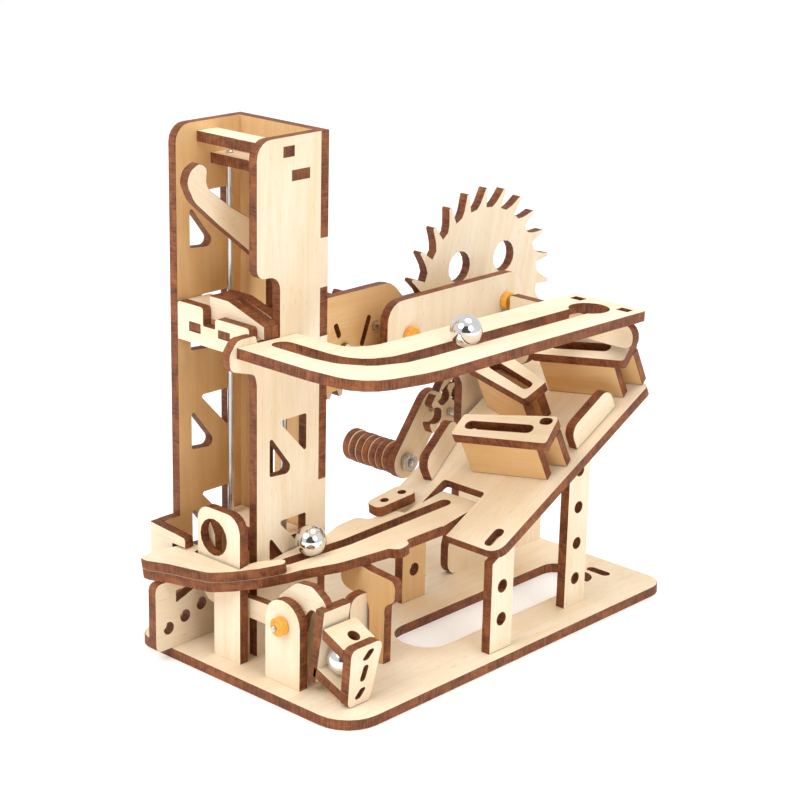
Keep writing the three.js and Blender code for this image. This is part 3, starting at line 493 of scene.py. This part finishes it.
def capped_axle(name, node, axis, collar_from, collar_to, collar_radius, body):
    """An axle and its amber cap: a stepped collar, a domed nose and a pin that shows in the middle."""
    low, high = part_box(node)
    start = (low + high) / 2
    along = max(range(3), key=lambda k: abs(axis[k]))
    begin = (low[along] - SHEET_ORIGIN[along]) / MM
    end = (high[along] - SHEET_ORIGIN[along]) / MM
    place = list((start - SHEET_ORIGIN) / MM)
    place[along] = 0.0
    pin = 0.85
    rod = turned(
        name + "_rod",
        [(begin, 0), (begin, pin - 0.2), (begin + 0.2, pin), (collar_to - 0.4, pin),
         (collar_to - 0.4, AXLE_RADIUS), (end - 0.25, AXLE_RADIUS), (end, 1.2), (end, 0)],
        place, axis, DRAWN, body, 32,
    )
    nose = max(begin + 0.35, collar_from - 0.55)
    cap = turned(
        name + "_cap",
        [(nose, pin), (nose, 1.25), (nose + 0.15, 1.5), (collar_from, 1.75),
         (collar_from, collar_radius - 0.35), (collar_from + 0.35, collar_radius),
         (collar_to - 0.25, collar_radius), (collar_to, collar_radius - 0.25),
         (collar_to, AXLE_RADIUS), (collar_to - 0.4, AXLE_RADIUS), (collar_to - 0.4, pin), (nose, pin)],
        place, axis, AMBER, body, 40,
    )
    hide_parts(node)
    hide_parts(node)


capped_axle("big_axle", "big_gear_axle", Y, 47.8, 49.8, 2.8, "gear_wheel")
capped_axle("stay", "plate_stay", Y, 47.8, 49.8, 2.8, "frame")
capped_axle("lever_pin", "lever_axle", X, 3.8, 6.0, 2.7, "lever")

# ---------------------------------------------------------------- crank
CRANK_END = (94.0, 33.6)


def grip():
    """Seven ply rings on the bolt, each with its own small offset and rounded, burnt rims."""
    rings = 7
    depth = 20 / rings
    offsets = (0.10, -0.08, 0.05, -0.12, 0.09, -0.04, 0.07)
    made = []
    for k in range(rings):
        start = 70 + k * depth
        radius = 5.05 + offsets[k] * 0.5
        profile = [(start + 0.02, 1.6), (start + 0.02, radius - 0.5), (start + 0.16, radius - 0.18)]
        profile += [(start + 0.42, radius), (start + depth - 0.42, radius)]
        profile += [(start + depth - 0.16, radius - 0.18), (start + depth - 0.02, radius - 0.5)]
        profile += [(start + depth - 0.02, 1.6), (start + 0.02, 1.6)]
        centre = (CRANK_END[0] + offsets[k], 0, CRANK_END[1] - offsets[(k + 2) % rings])
        piece = turned(f"grip_ring_{k + 1}", profile, centre, Y, None, "crank", 48)
        for material in wood_set(X, Y):
            piece.data.materials.append(material)
        for polygon in piece.data.polygons:
            polygon.material_index = 0 if abs(polygon.normal.y) > 0.9 else 1
        made.append(piece)
    for piece in made:
        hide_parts("crank_grip")


def bolt():
    """The grip's screw: a threaded end, a chamfered hexagon nut, and a chamfered far end."""
    x, z = CRANK_END
    low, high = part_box("crank_bolt")
    begin = (low.y - SHEET_ORIGIN.y) / MM
    end = (high.y - SHEET_ORIGIN.y) / MM
    profile = [(begin, 0), (begin, 1.0)]
    pitch = 0.5
    place = begin + 0.2
    while place < begin + 4.0:
        profile += [(place, AXLE_RADIUS), (place + pitch / 2, 1.15)]
        place += pitch
    profile += [(place, AXLE_RADIUS), (end - 0.2, AXLE_RADIUS), (end, 1.2), (end, 0)]
    shank = turned("screw", profile, (x, 0, z), Y, DRAWN, "crank", 36)
    bm = bmesh.new()
    origin = at(x, 0, z)
    levels = ((64.55, 2.65), (64.95, 3.08), (66.45, 3.08), (66.85, 2.65))
    rings = []
    for y, radius in levels:
        ring = []
        for k in range(6):
            angle = math.pi / 3 * k + math.pi / 6
            reach = Vector((math.cos(angle) * radius, y, math.sin(angle) * radius))
            ring.append(bm.verts.new(origin + reach * MM))
        rings.append(ring)
    for a, b in zip(rings, rings[1:]):
        for k in range(6):
            n = (k + 1) % 6
            bm.faces.new((a[k], a[n], b[n], b[k]))
    bm.faces.new(rings[0])
    bm.faces.new(list(reversed(rings[-1])))
    nut = new_piece("nut", bm, DRAWN, "crank")
    soften = nut.modifiers.new("soften", "BEVEL")
    soften.width = 0.12 * MM
    soften.segments = 2
    soften.harden_normals = True
    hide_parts("crank_bolt")
    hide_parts("crank_bolt")


grip()
bolt()

# ---------------------------------------------------------------- exit ramp
WALL = 51.9
RAMP_END = 71
RAMP_TOP = [(62, 93.6), (RAMP_END, 93.6), (RAMP_END, 100.3), (63.5, 100.3, 4)]
OUTER_LAYER = [(49.1, 92), *RAMP_TOP, (49.1, 95.8)]
INNER_LAYER = [(WALL, 93), *RAMP_TOP, (WALL, 96.9)]
for number, (x, thickness, corners) in enumerate((
    (16.4, 2.68, OUTER_LAYER), (19.12, 2.66, OUTER_LAYER), (21.82, 3.56, INNER_LAYER),
)):
    layer = plate_facing_x(f"exit_layer_{number + 1}", corners, x, thickness, "frame")
    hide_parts("exit_ramp_block")

SHELF = [(16.5, RAMP_END + 0.1), (25.4, RAMP_END + 0.1), (25.4, 80.7), (16.5, 80.7)]
ply_plate("exit_shelf", SHELF, (0, 0, 94.4), X, Y, Z * 2.9, "frame")

# The ends of the two tabs that fill the front plate's holes show their cut edge.
for number, (low, high) in enumerate((((71.5, 89.9), (75.9, 92.4)), ((59.7, 90.2), (64.1, 92.3)))):
    corners = [low, (high[0], low[1]), high, (low[0], high[1])]
    tab = plate_facing_x(f"exit_tab_{number + 1}", corners, 13.5, 2.8, "frame")
    for polygon in tab.data.polygons:
        polygon.material_index = 1

# ---------------------------------------------------------------- lever
LEVER_ARM = [
    (18.4, 25.6, 1), (19.8, 27.4, 3), (24, 30, 4), (30, 29.4, 5), (36.6, 24, 5), (38, 19.5, 3),
    (62, 18.6, 3), (62.4, 34, 2), (64.6, 38.2, 3), (68, 37.4, 3), (68.2, 16, 4), (65, 13, 4), (34, 13, 4),
    (28, 13.6, 3), (26.6, 20, 5), (24.4, 23.4, 3), (20.8, 22, 1),
]
BUCKET_BACK = [(17.3, 25.2, 0.6), (20.4, 25.4, 0.6), (23.4, 3.4, 0.6), (20.5, 3.2, 0.6)]
# Each part's name, outline, place along X and thickness.
LEVER_PARTS = (
    ("gate_arm", LEVER_ARM, 10.2, 2.6),
    ("bucket_back", BUCKET_BACK, 8.02, 10.36),
    ("bucket_floor", [(20.9, 8.2), (10.7, 4.2, 0.5), (10.7, 1.2, 0.5), (21.4, 5.2)], 8.02, 10.3),
    ("bucket_web", [(17.4, 17), (11, 13.8), (11, 4), (20.9, 8.2)], 17.9, 1.2),
)
for name, corners, x, thickness in LEVER_PARTS:
    part = plate_facing_x(name, corners, x, thickness, "lever")
    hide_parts("lever_arm")

# ---------------------------------------------------------------- bracket foot
FOOT = [(28.2, 0.15), (37.8, 0.15), (37.8, 20, 4.4), (28.2, 20, 4.4)]
ply_plate("bracket_foot", FOOT, (0, 27.2, 0), X, Z, Y * PLY, "frame")

# ---------------------------------------------------------------- room
# The floor shines a little, so that it stays white far from the lamps.
FLOOR_GLOW = 0.24
SKY = 0.85
GLOOM = 0.10
OPENING_ELEVATION = 16


def floor():
    bm = bmesh.new()
    bmesh.ops.create_grid(bm, x_segments=1, y_segments=1, size=6.0)
    mesh = bpy.data.meshes.new("floor")
    bm.to_mesh(mesh)
    bm.free()
    piece = bpy.data.objects.new("floor", mesh)
    bpy.context.scene.collection.objects.link(piece)
    piece.location.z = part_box("base_plate")[0].z - 0.0002
    t = Tree("floor_white")
    tint = t.noise(t.place(), 3.0, 2.0)
    colour = t.ramp(tint, (0.3, (0.90, 0.90, 0.90)), (0.7, (0.92, 0.92, 0.92)))
    glow = {"Emission_Color": (1.0, 1.0, 1.0, 1.0), "Emission_Strength": FLOOR_GLOW}
    mesh.materials.append(t.finish(colour, 0.9, **glow))


def soft_light(name, azimuth, elevation, distance, size, power, colour=(1, 1, 1)):
    light = bpy.data.lights.new(name, "AREA")
    light.shape = "DISK"
    light.size = size
    light.energy = power
    light.color = colour
    lamp = bpy.data.objects.new(name, light)
    bpy.context.scene.collection.objects.link(lamp)
    turn = math.radians(azimuth)
    rise = math.radians(elevation)
    away = Vector((math.sin(turn) * math.cos(rise), -math.cos(turn) * math.cos(rise), math.sin(rise)))
    aim = Vector((0, 0, 0.06))
    lamp.location = aim + away * distance
    lamp.rotation_euler = (-away).to_track_quat("-Z", "Y").to_euler()


def surroundings():
    """A white room with one dark opening, which gives the steel balls something dark to reflect."""
    world = bpy.data.worlds.new("studio")
    bpy.context.scene.world = world
    world.use_nodes = True
    tree = world.node_tree
    background = tree.nodes["Background"]
    place = tree.nodes.new("ShaderNodeTexCoord")
    turn = math.radians(CAMERA_AZIMUTH)
    rise = math.radians(OPENING_ELEVATION)
    opening = (math.sin(turn) * math.cos(rise), -math.cos(turn) * math.cos(rise), math.sin(rise))
    nearness = tree.nodes.new("ShaderNodeVectorMath")
    nearness.operation = "DOT_PRODUCT"
    tree.links.new(place.outputs["Generated"], nearness.inputs[0])
    nearness.inputs[1].default_value = opening
    shade = tree.nodes.new("ShaderNodeMapRange")
    shade.interpolation_type = "SMOOTHSTEP"
    for name, value in (("From Min", 0.80), ("From Max", 0.90), ("To Min", SKY), ("To Max", GLOOM)):
        shade.inputs[name].default_value = value
    tree.links.new(nearness.outputs["Value"], shade.inputs["Value"])
    background.inputs["Color"].default_value = (1.0, 1.0, 1.0, 1.0)
    tree.links.new(shade.outputs["Result"], background.inputs["Strength"])


def camera():
    data = bpy.data.cameras.new("camera")
    data.lens = LENS
    data.sensor_width = 36
    data.clip_start = 0.01
    data.clip_end = 50
    piece = bpy.data.objects.new("camera", data)
    bpy.context.scene.collection.objects.link(piece)
    turn = math.radians(CAMERA_AZIMUTH)
    pitch = math.radians(CAMERA_PITCH)
    roll = math.radians(CAMERA_ROLL)
    right = Vector((math.cos(turn), math.sin(turn), 0))
    level_ahead = Vector((-math.sin(turn), math.cos(turn), 0))
    ahead = level_ahead * math.cos(pitch) - Z * math.sin(pitch)
    up = right.cross(ahead)
    level = right * math.cos(roll) + up * math.sin(roll)
    top = -right * math.sin(roll) + up * math.cos(roll)
    turned_frame = Matrix((level, top, -ahead)).transposed().to_4x4()
    piece.matrix_world = Matrix.Translation(CAMERA_PLACE) @ turned_frame
    bpy.context.scene.camera = piece


floor()
surroundings()
soft_light("key", -95, 42, 0.9, 0.55, 3.4, (1.0, 0.985, 0.96))
soft_light("front", -12, 30, 1.0, 0.60, 2.2, (1.0, 0.98, 0.95))
soft_light("top", 40, 78, 0.9, 0.60, 2.0)
camera()
bpy.context.scene.view_settings.view_transform = "Standard"
bpy.context.scene.view_settings.look = "None"
